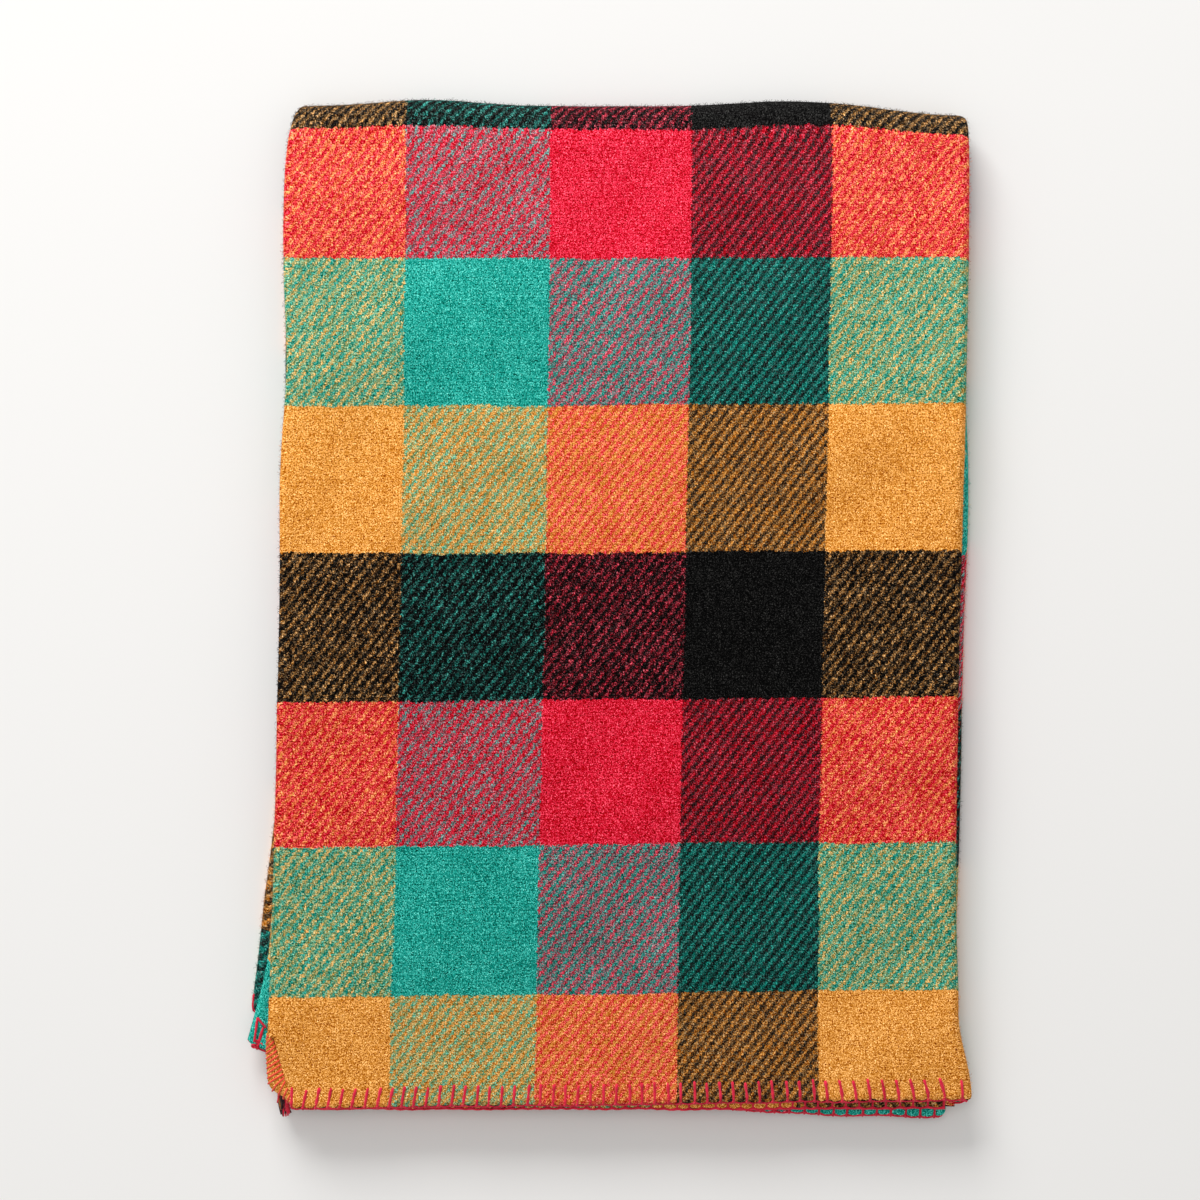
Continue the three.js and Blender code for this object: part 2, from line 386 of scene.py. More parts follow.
# ---------------------------------------------------------------- hems and their stitches
def stitch_places(upper):
    """Where a hem's blanket stitches sit across the cloth, closer on the left than on the right."""
    draw = random.Random(21 if upper else 22)
    first = OUTER_START + (UPPER_FIRST_STITCH if upper else LOWER_FIRST_STITCH)

    def pitch(p):
        return STITCH_PITCH - 0.0006 + 0.0013 * float(np.clip((p - OUTER_START) / PANEL_WIDTH, 0, 1))

    places, p = [first], first
    while p < SECTION_END - 0.004 - pitch(p):
        p += pitch(p)
        places.append(p + draw.uniform(-STITCH_STRAY, STITCH_STRAY))
    p = LEFT_THIRD_END - (UPPER_FIRST_STITCH if upper else -LOWER_FIRST_STITCH)
    while p > 0.004:
        places.insert(0, p + draw.uniform(-STITCH_STRAY, STITCH_STRAY))
        p -= STITCH_PITCH
    return np.array(places)


STITCHES = {True: stitch_places(True), False: stitch_places(False)}


def between(p, upper):
    """0 at a stitch, and 1 midway between two."""
    places = STITCHES[upper]
    return np.abs(np.sin(math.pi * np.interp(p, places, np.arange(len(places)))))


def half_thickness(p, away, upper):
    """Half the cloth's thickness: pinched under each stitch, full between them and round at the edge."""
    lobe = between(p, upper)
    pinch = PINCHED_HALF + PUFF * lobe**0.7
    in_band = 1 - smooth((away - PINCH_REACH) / PINCH_FADE)
    deep = in_band * (1 - 0.25 * smooth(away / 0.014))
    body = THICKNESS / 2 + (pinch - THICKNESS / 2) * deep
    edge = np.clip(away / EDGE_ROUNDING, 0, 1)
    side = np.clip(np.minimum(p, SECTION_END - p) / SIDE_ROUNDING, 0.04, 1)
    return body * np.maximum(np.sqrt(edge * (2 - edge)), 0.22) * np.sqrt(side)


def hem_v(p, away, upper):
    """The cloth's v at a distance from a hem. The upper hem is cut away at its folded corner."""
    if not upper:
        return CLOTH_END - away + 0 * p
    return away + corner_rise(p) * np.clip(1 - away / 0.11, 0, 1)


def hem_point(p, away, offset, upper):
    """A point of the hem, which bulges out between its stitches."""
    outward = 0.0013 * (between(p, upper) - 0.4) * np.clip(1 - away / 0.009, 0, 1)
    return place(p, hem_v(p, away - outward, upper), offset)


# ---------------------------------------------------------------- cloth mesh
def stations(edges):
    """Cell edges from a list of (start, end, cells)."""
    out = []
    for start, end, cells in edges:
        out += [start + (end - start) * i / cells for i in range(cells)]
    return out + [edges[-1][1]]


COARSE_P = np.array(
    stations(
        [
            (0.0, 0.006, 3),
            (0.006, LEFT_THIRD_END, 48),
            (LEFT_THIRD_END, OUTER_START, 10),
            (OUTER_START, OUTER_START + 0.03, 6),
            (OUTER_START + 0.03, OUTER_END, 50),
            (OUTER_END, RIGHT_THIRD_START, 12),
            (RIGHT_THIRD_START, SECTION_END - 0.006, 48),
            (SECTION_END - 0.006, SECTION_END, 3),
        ]
    )
)
HEM_ROWS = [0.0, 0.0005, 0.0014, 0.0028, 0.0048, 0.0075, 0.0105, 0.0135, 0.0165, 0.0195, 0.0230]
FINE_CELL = 0.0021
ROW_STEP = 0.006
FOLD_ROWS_REACH = 0.050
# An odd number of cells in the fold, so that no row lies in the middle plane, where the halves part.
UPPER_CELLS, FOLD_CELLS, LOWER_CELLS = 74, 45, 68


def fine_stations():
    """The coarse cells split for the puffs between stitches, and where each coarse cell starts in them."""
    fine, owners = [], []
    for start, end in zip(COARSE_P[:-1], COARSE_P[1:]):
        count = max(1, round((end - start) / FINE_CELL))
        owners.append(len(fine))
        fine += [start + (end - start) * k / count for k in range(count)]
    owners.append(len(fine))
    return np.array(fine + [COARSE_P[-1]]), owners


FINE_P, OWNERS = fine_stations()


def sheet_rows():
    """Every row of vertices: stations across, distance from its hem, and which half it lies in."""
    first, last = HEM_ROWS[-1] + ROW_STEP, CLOTH_END - HEM_ROWS[-1] - ROW_STEP
    fold_start, fold_end = MIDDLE_V - FOLD_ROWS_REACH, MIDDLE_V + FOLD_ROWS_REACH
    parts = [
        (first, fold_start, UPPER_CELLS),
        (fold_start, fold_end, FOLD_CELLS),
        (fold_end, last, LOWER_CELLS),
    ]
    middle = stations(parts)
    rows = [(FINE_P, r, True) for r in HEM_ROWS]
    rows += [(COARSE_P, v, True) if v < MIDDLE_V else (COARSE_P, CLOTH_END - v, False) for v in middle]
    rows += [(FINE_P, r, False) for r in reversed(HEM_ROWS)]
    return rows


def cloth_vertices(rows):
    points, uvs, starts = [], [], []
    for face in (1.0, -1.0):
        for p, away, upper in rows:
            starts.append(len(points))
            v = hem_v(p, away, upper)
            ripple = 1 + 0.04 * RIPPLE(p, v + 3 * face)
            x, y, z = hem_point(p, away, face * half_thickness(p, away, upper) * ripple, upper)
            points += list(zip(x, y, z))
            uvs += list(zip(stripe_coordinate(p), v))
    return points, uvs, starts


def cloth_faces(rows, starts):
    """Both faces of the sheet. A fine row meets a coarse one in many-sided faces."""
    faces, count = [], len(rows)
    for side in (0, 1):
        for i in range(count - 1):
            lower, upper = starts[side * count + i], starts[side * count + i + 1]
            low_fine, high_fine = rows[i][0] is FINE_P, rows[i + 1][0] is FINE_P
            mixed = low_fine != high_fine
            cells = len(rows[i][0]) - 1 if not mixed else len(COARSE_P) - 1
            for j in range(cells):
                a = range(OWNERS[j], OWNERS[j + 1] + 1) if mixed and low_fine else (j, j + 1)
                b = range(OWNERS[j], OWNERS[j + 1] + 1) if mixed and high_fine else (j, j + 1)
                ring = [lower + k for k in a] + [upper + k for k in reversed(b)]
                faces.append(tuple(ring if side == 0 else reversed(ring)))
    return faces


def cloth_rims(rows, starts):
    """Closes the sheet round its four edges. Each rim has a band of its own in the map for baking."""
    faces, bands, count = [], [], len(rows)
    for i, flip in ((0, False), (count - 1, True)):
        top, bottom = starts[i], starts[count + i]
        for j in range(len(rows[i][0]) - 1):
            ring = (top + j + 1, top + j, bottom + j, bottom + j + 1)
            faces.append(tuple(reversed(ring)) if flip else ring)
            bands.append("upper hem" if not flip else "lower hem")
    for i in range(count - 1):
        a, b, c, d = starts[i], starts[i + 1], starts[count + i], starts[count + i + 1]
        faces.append((a, b, d, c))
        low, high = len(rows[i][0]) - 1, len(rows[i + 1][0]) - 1
        faces.append((b + high, a + low, c + low, d + high))
        bands += ["first side", "last side"]
    return faces, bands


# Where each face of the sheet lies in the map for baking.
FACE_WIDTH, FACE_HEIGHT = 0.485, 0.97
FACE_X, FACE_Y = 0.002, 0.005
BACK_SHIFT = 0.505
RIM_BANDS = {
    "upper hem": (0.982, 0.988),
    "lower hem": (0.990, 0.996),
    "first side": (0.491, 0.494),
    "last side": (0.496, 0.499),
}


def bake_map(faces, rims, bands, front_count, spread):
    """The map for baking: the front face on the left, the back face on the right, and rims beside."""
    loops = []
    for face in faces:
        shift = 0.0 if face[0] < front_count else BACK_SHIFT
        for k in face:
            loops.append((spread[k][0] * FACE_WIDTH + FACE_X + shift, spread[k][1] * FACE_HEIGHT + FACE_Y))
    for face, band in zip(rims, bands):
        low, high = RIM_BANDS[band]
        for k in face:
            across = low if k < front_count else high
            along = spread[k]
            if "hem" in band:
                loops.append((along[0] * FACE_WIDTH + FACE_X, across))
            else:
                loops.append((across, along[1] * FACE_HEIGHT + FACE_Y))
    return loops


def build_cloth():
    rows = sheet_rows()
    points, uvs, starts = cloth_vertices(rows)
    faces = cloth_faces(rows, starts)
    rims, bands = cloth_rims(rows, starts)
    spread = []
    for _face in (0, 1):
        for p, away, upper in rows:
            v = hem_v(p, away, upper)
            spread += list(zip(p / SECTION_END, v / CLOTH_END))
    loops = bake_map(faces, rims, bands, starts[len(rows)], spread)
    return mesh_object("wool_cloth", points, faces + rims, uvs, loops)


# ---------------------------------------------------------------- blanket stitches
def stitch_leg(builder, p, lean, depth, face, upper, fine):
    """The part of a stitch that lies on the cloth, from its purl to where it goes through."""
    s = np.linspace(0, 1, 11 if fine else 5)
    away = depth * s
    across = p + lean * s**1.3
    dive = smooth((s - 0.90) / 0.10)
    over = smooth(away / 0.0022)
    surface = half_thickness(across, away, upper)
    offset = face * (surface + YARN_RADIUS * 0.35 - 0.0022 * dive) * over
    path = np.column_stack(place(across, hem_v(across, away - 0.0010 * (1 - over), upper), offset))
    radii = YARN_RADIUS * (1 + 0.10 * np.sin(11 * s + p * 900)) * (1 - 0.55 * dive) * (0.90 + 0.1 * over)
    builder.tube(path, radii, sides=8 if fine else 5, lobes=0.17 if fine else 0, twist=1500, flat=0.8)


def purl(builder, places, upper):
    """The yarn along the edge, knotted at each stitch and tucked a little under the hem."""
    p = np.linspace(places[0] - 0.001, places[-1] + 0.001, int((places[-1] - places[0]) / 0.0016))
    lobe = between(p, upper)
    reach = 0.0003 + 0.0010 * lobe
    offset = -0.0007 + 0.0005 * np.sin(p * 1900) * lobe
    path = np.column_stack(place(p, hem_v(p, -reach, upper), offset))
    radii = YARN_RADIUS * (0.72 + 0.42 * (1 - lobe) ** 1.5)
    builder.tube(path, radii, sides=8, lobes=0.16, twist=1500)


def knot_loops(builder, places, upper):
    """Each stitch's loop, which crosses the purl and holds it to the edge."""
    for p in places:
        if not (OUTER_START < p < OUTER_END or p > RIGHT_THIRD_START):
            continue
        s = np.linspace(0, 1, 7)
        across = p - 0.0010 + 0.0022 * s
        away = 0.0006 - 0.0022 * np.sin(math.pi * s)
        offset = 0.0016 * np.cos(math.pi * s)
        path = np.column_stack(place(across, hem_v(across, away, upper), offset))
        builder.tube(path, YARN_RADIUS * 0.58, sides=6)


def hem_yarn(name, upper):
    builder = Builder()
    draw = random.Random(31 if upper else 32)
    places = STITCHES[upper]
    for p in places:
        on_outer = OUTER_START < p < OUTER_END
        on_right = p > RIGHT_THIRD_START
        along = (p - OUTER_START) / (OUTER_END - OUTER_START)
        lean = STITCH_LEAN * (1 - 2 * along) if 0 < along < 1 else 0.0
        lean += draw.uniform(-0.0007, 0.0007)
        if upper and abs(p - OUTER_START - UPPER_FIRST_STITCH) < 0.002:
            lean = -0.0003
        depth = STITCH_DEPTH + 0.0022 * min(max(along, 0), 1) + draw.uniform(-0.0010, 0.0010)
        stitch_leg(builder, p, lean, depth, 1.0, upper, on_outer or on_right)
        stitch_leg(builder, p, lean, depth, -1.0, upper, on_right)
    runs = [places]
    if upper:
        middle = (LEFT_THIRD_END + OUTER_START) / 2
        runs = [places[places < middle], places[places > middle]]
    for run in runs:
        purl(builder, run, upper)
    knot_loops(builder, places, upper)
    return builder.make(name)


# ---------------------------------------------------------------- the whipped corner
def corner_axis():
    """The turned-over corner's middle line, with its half width and half height."""
    s = np.linspace(0, 1, 33)
    knots = [0.0, 0.20, 0.45, 0.70, 0.78, 0.88, 1.0]
    x = np.interp(s, knots, [-0.2738, -0.2716, -0.2691, -0.2663, -0.2616, -0.2576, -0.2540])
    half_width = np.interp(s, knots, [0.0024, 0.0050, 0.0069, 0.0088, 0.0060, 0.0042, 0.0022])
    soften = np.array([0.25, 0.5, 0.25])
    for _ in range(3):
        x[1:-1] = np.convolve(x, soften, "valid")
        half_width[1:-1] = np.convolve(half_width, soften, "valid")
    y = ROLL_TOP_Y - ROLL_LENGTH * s
    z = MIDDLE_Z + 0.0088 - 0.0012 * s
    half_height = 0.0056 - 0.0012 * s
    return np.column_stack((x, y, z)), half_width, half_height


def corner_roll():
    path, half_width, half_height = corner_axis()
    builder = Builder()
    builder.tube(path, half_width, sides=24, flat=half_height / half_width)
    # The wool's pattern runs along the roll as it does on the panel beside it.
    builder.uvs = [(0.02 + (q[0] + 0.27), q[1] + 0.42) for q in builder.points]
    return builder.make("corner_roll")


def corner_whipping():
    path, half_width, half_height = corner_axis()
    per_turn = 18
    t = np.linspace(0.01, 0.99, WHIPPING_TURNS * per_turn)
    station = t * (len(path) - 1)
    at = np.column_stack([np.interp(station, np.arange(len(path)), path[:, k]) for k in range(3)])
    wide = np.interp(station, np.arange(len(path)), half_width) + 0.0004
    high = np.interp(station, np.arange(len(path)), half_height) + 0.0003
    tangent = np.gradient(at, axis=0)
    tangent /= np.linalg.norm(tangent, axis=1)[:, None]
    side = np.cross(tangent, (0, 0, 1.0))
    angle = 2 * math.pi * WHIPPING_TURNS * t
    slant = WHIPPING_SLANT * np.cos(angle)
    helix = at - side * (wide * np.cos(angle))[:, None] - tangent * slant[:, None]
    helix[:, 2] += high * np.sin(angle)
    builder = Builder()
    builder.tube(helix, WHIPPING_RADIUS + 0.00008 * np.sin(7 * angle), sides=6, lobes=0.12, twist=2200)
    return builder.make("corner_whipping")


def strands(name, count, draw, spread):
    """Short frayed yarn ends that hang from under the corner."""
    builder = Builder()
    for _ in range(count):
        x, y = draw.uniform(-0.2680, -0.2595), draw.uniform(-0.385, -0.377)
        end_x, end_y = x + draw.uniform(-0.0015, 0.0035), draw.uniform(-0.4085, -0.3940)
        z, end_z = draw.uniform(0.012, 0.020), draw.uniform(0.005, 0.015)
        s = np.linspace(0, 1, 9)
        curl, phase = draw.uniform(0.0005, spread), draw.uniform(0, 6)
        path = np.column_stack(
            (
                x + (end_x - x) * s + curl * np.sin(5 * s + phase) * s,
                y + (end_y - y) * s + 0.5 * curl * np.cos(6 * s + phase) * s,
                z + (end_z - z) * s + 0.5 * curl * np.cos(5 * s + phase) * s,
            )
        )
        builder.tube(path, draw.uniform(0.0008, 0.0013) * (1 - 0.35 * s), sides=6, lobes=0.15, twist=2500)
    return builder.make(name)


def lower_corner_loops():
    """The corner stitch and the knot on the lower half's right third, where it peeps out on the left."""
    builder = Builder()
    top = MIDDLE_Z - RIGHT_LEVEL + THICKNESS / 2

    def bend(a, b, lift):
        s = np.linspace(0, 1, 9)
        x = a[0] + (b[0] - a[0]) * s
        y = a[1] + (b[1] - a[1]) * s
        return np.column_stack((x, y, top + 0.0004 + lift * np.sin(math.pi * s)))

    hem_end, corner, last_stitch = (-0.2868, -0.3475), (-0.2842, -0.3280), (-0.2775, -0.3360)
    builder.tube(bend(hem_end, corner, 0.0004), 0.00095, lobes=0.15, twist=1500)
    builder.tube(bend(corner, last_stitch, 0.0006), 0.00090, lobes=0.15, twist=1500)
    draw = random.Random(44)
    for _ in range(16):
        x, y = draw.uniform(-0.2880, -0.2790), draw.uniform(-0.3515, -0.3465)
        z = draw.uniform(0.0095, 0.0150)
        s = np.linspace(0, 1, 7)
        turn, reach = draw.uniform(0, 6), draw.uniform(0.0012, 0.0024)
        coil_x = x + reach * np.cos(5 * s + turn)
        coil_y = y + 0.7 * reach * np.sin(5 * s + turn)
        coil_z = z + 0.0012 * np.sin(7 * s + turn)
        path = np.column_stack((coil_x, coil_y, coil_z))
        builder.tube(path, 0.00070, sides=6, lobes=0.15, twist=2500)
    return builder.make("lower_corner_knot")


# ---------------------------------------------------------------- nap
def nap_roots(draw, count):
    """Places on the cloth's outer faces: its side bends, its fold, its hems and its open faces."""
    kinds = draw.choice(len(NAP_SHARES), size=count, p=NAP_SHARES)
    p = draw.uniform(OUTER_START, OUTER_END, count)
    v = draw.uniform(0.004, CLOTH_END - 0.004, count)
    bend = np.clip(draw.normal(0.5, 0.22, count), 0.02, 0.98)
    p = np.where(kinds == ON_LEFT_BEND, LEFT_THIRD_END + bend * (OUTER_START - LEFT_THIRD_END), p)
    v = np.where(kinds == ON_LEFT_BEND, draw.uniform(0.058, CLOTH_END - 0.004, count), v)
    p = np.where(kinds == ON_RIGHT_BEND, OUTER_END + bend * (RIGHT_THIRD_START - OUTER_END), p)
    v = np.where(kinds == ON_FOLD, MIDDLE_V + draw.normal(0, 0.010, count), v)
    near_upper = draw.uniform(0, 1, count) < 0.65
    hem = draw.uniform(0.0003, 0.004, count)
    v = np.where(kinds == ON_HEM, np.where(near_upper, hem + corner_rise(p), CLOTH_END - hem), v)
    v = np.where(kinds == ON_PANEL, draw.uniform(0.01, MIDDLE_V - 0.02, count), v)
    third = kinds == ON_THIRD
    p = np.where(third, draw.uniform(SECTION_END - 0.030, SECTION_END - 0.001, count), p)
    v = np.where(third, draw.uniform(MIDDLE_V + 0.55, CLOTH_END - 0.004, count), v)
    return p, v, kinds


def nap_fibres(name, count):
    """Fine tapered fibres that stand off the wool, each the colour of the cloth at its root."""
    draw = np.random.default_rng(12)
    p, v, kinds = nap_roots(draw, count)
    upper = v < MIDDLE_V
    away = np.where(upper, v - corner_rise(p), CLOTH_END - v)
    half = np.where(upper, half_thickness(p, away, True), half_thickness(p, away, False))
    root = np.column_stack(place(p, v, half - 0.0002))
    tip = np.column_stack(place(p, v, half + 0.0008))
    normal = (tip - root) / np.maximum(np.linalg.norm(tip - root, axis=1), 1e-9)[:, None]
    heading = draw.normal(size=(count, 3))
    heading -= normal * np.sum(heading * normal, axis=1)[:, None]
    heading /= np.linalg.norm(heading, axis=1)[:, None]
    other = np.cross(normal, heading)
    length = draw.uniform(NAP_SHORTEST, NAP_LONGEST, count)
    lift = draw.uniform(0.25, 0.9, count) * np.where(kinds == ON_PANEL, 0.35, 1.0)
    curl = draw.uniform(-0.6, 0.6, count)
    rings = []
    for s, thick in ((0.0, 1.0), (0.5, 0.85), (1.0, 0.3)):
        along = heading * (length * s * (1 - 0.25 * s))[:, None]
        up = normal * (length * lift * math.sin(s * 1.9))[:, None]
        bow = other * (length * curl * s * s)[:, None]
        middle = root + along + up + bow
        radius = NAP_RADIUS * thick
        for k in range(3):
            a = 2 * math.pi * k / 3
            rings.append(middle + (normal * math.cos(a) + other * math.sin(a)) * radius)
    points = np.stack(rings, axis=1)
    # No fibre may straddle the middle plane, where the halves part.
    top, bottom = points[:, :, 2].max(axis=1), points[:, :, 2].min(axis=1)
    straddles = (top > MIDDLE_Z - MIDDLE_MARGIN) & (bottom < MIDDLE_Z + MIDDLE_MARGIN)
    points[:, :, 2] -= np.where(straddles, top - MIDDLE_Z + 0.0003, 0)[:, None]
    points = points.reshape(-1, 3)
    points[:, 2] = np.maximum(points[:, 2], FLOOR_CLEARANCE)
    pattern = []
    for i in range(2):
        for k in range(3):
            a, b = 3 * i + k, 3 * i + (k + 1) % 3
            pattern.append((a, b, b + 3, a + 3))
    pattern += [(2, 1, 0), (6, 7, 8)]
    faces = [tuple(9 * n + k for k in ring) for n in range(count) for ring in pattern]
    uvs = np.repeat(np.column_stack((stripe_coordinate(p), v)), 9, axis=0)
    return mesh_object(name, points, faces, uvs, nap_bake_map(count, pattern))


def nap_bake_map(count, pattern):
    """Gives each fibre a cell of its own in the map for baking."""
    columns = math.ceil(math.sqrt(count))
    local = []
    root_cap, tip_cap = [(3.1, 0.0), (3.5, 0.0), (3.5, 1.0)], [(3.1, 1.5), (3.5, 1.5), (3.5, 2.5)]
    for ring in pattern:
        if len(ring) == 4:
            low, high = ring[0] // 3, ring[3] // 3
            k = ring[0] % 3
            corners = [(k, low), (k + 1, low), (k + 1, high), (k, high)]
        else:
            corners = root_cap if ring[0] == 2 else tip_cap
        local += [(0.1 + 0.8 * a / 3.5, 0.1 + 0.8 * b / 2.5) for a, b in corners]
    local = np.array(local)
    cells = np.array([(n % columns, n // columns) for n in range(count)], float)
    return ((cells[:, None, :] + local[None, :, :]) / columns).reshape(-1, 2)


# ---------------------------------------------------------------- materials
class Nodes:
    """Short calls for building a node tree."""

    def __init__(self, name):
        self.material = bpy.data.materials.new(name)
        self.material.use_nodes = True
        self.tree = self.material.node_tree
        self.tree.nodes.clear()
        self.output = self.tree.nodes.new("ShaderNodeOutputMaterial")
        self.shader = self.tree.nodes.new("ShaderNodeBsdfPrincipled")
        self.link(self.shader.outputs[0], self.output.inputs[0])

    def link(self, a, b):
        self.tree.links.new(a, b)

    def feed(self, socket, value):
        if isinstance(value, bpy.types.NodeSocket):
            self.link(value, socket)
        else:
            socket.default_value = value

    def math(self, operation, a, b=0.0, c=0.0):
        node = self.tree.nodes.new("ShaderNodeMath")
        node.operation = operation
        for socket, value in zip(node.inputs, (a, b, c)):
            self.feed(socket, value)
        return node.outputs[0]

    def noise(self, vector, scale, detail=2.0, roughness=0.5, colour=False):
        """Soft noise. The scale is in lumps to the metre."""
        node = self.tree.nodes.new("ShaderNodeTexNoise")
        self.link(vector, node.inputs["Vector"])
        node.inputs["Scale"].default_value = scale
        node.inputs["Detail"].default_value = detail
        node.inputs["Roughness"].default_value = roughness
        return node.outputs["Color" if colour else "Fac"]

    def voronoi(self, vector, scale):
        node = self.tree.nodes.new("ShaderNodeTexVoronoi")
        self.link(vector, node.inputs["Vector"])
        node.inputs["Scale"].default_value = scale
        return node.outputs["Distance"]

    def vector(self, operation, a, b):
        node = self.tree.nodes.new("ShaderNodeVectorMath")
        node.operation = operation
        self.feed(node.inputs[0], a)
        self.feed(node.inputs[3] if operation == "SCALE" else node.inputs[1], b)
        return node.outputs[0]

    def scaled(self, vector, by):
        return self.vector("MULTIPLY", vector, by)

    def added(self, a, b):
        return self.vector("ADD", a, b)

    def range(self, value, low, high, to_low=0.0, to_high=1.0, smoothly=False):
        node = self.tree.nodes.new("ShaderNodeMapRange")
        node.interpolation_type = "SMOOTHSTEP" if smoothly else "LINEAR"
        for key, number in (("From Min", low), ("From Max", high), ("To Min", to_low), ("To Max", to_high)):
            self.feed(node.inputs[key], number)
        self.link(value, node.inputs["Value"])
        return node.outputs[0]

    def mix(self, factor, a, b):
        node = self.tree.nodes.new("ShaderNodeMix")
        node.data_type = "RGBA"
        self.feed(node.inputs[0], factor)
        self.feed(node.inputs[6], a)
        self.feed(node.inputs[7], b)
        return node.outputs[2]

    def ramp(self, factor, stops):
        node = self.tree.nodes.new("ShaderNodeValToRGB")
        node.color_ramp.interpolation = "CONSTANT"
        stops = list(stops)
        elements = node.color_ramp.elements
        while len(elements) > 1:
            elements.remove(elements[-1])
        elements[0].position, elements[0].color = stops[0][0], (*stops[0][1], 1)
        for position, colour in stops[1:]:
            elements.new(position).color = (*colour, 1)
        self.link(factor, node.inputs[0])
        return node.outputs[0]

    def bump(self, height, distance, strength=1.0, normal=None):
        node = self.tree.nodes.new("ShaderNodeBump")
        node.inputs["Strength"].default_value = strength
        node.inputs["Distance"].default_value = distance
        self.link(height, node.inputs["Height"])
        if normal is not None:
            self.link(normal, node.inputs["Normal"])
        return node.outputs[0]

    def split(self, vector):
        node = self.tree.nodes.new("ShaderNodeSeparateXYZ")
        self.link(vector, node.inputs[0])
        return node.outputs[0], node.outputs[1]

    def finish(self, roughness, sheen, sheen_roughness, specular):
        sockets = self.shader.inputs
        sockets["Roughness"].default_value = roughness
        sockets["Specular IOR Level"].default_value = specular
        sockets["Sheen Weight"].default_value = sheen
        sockets["Sheen Roughness"].default_value = sheen_roughness
        return self.material


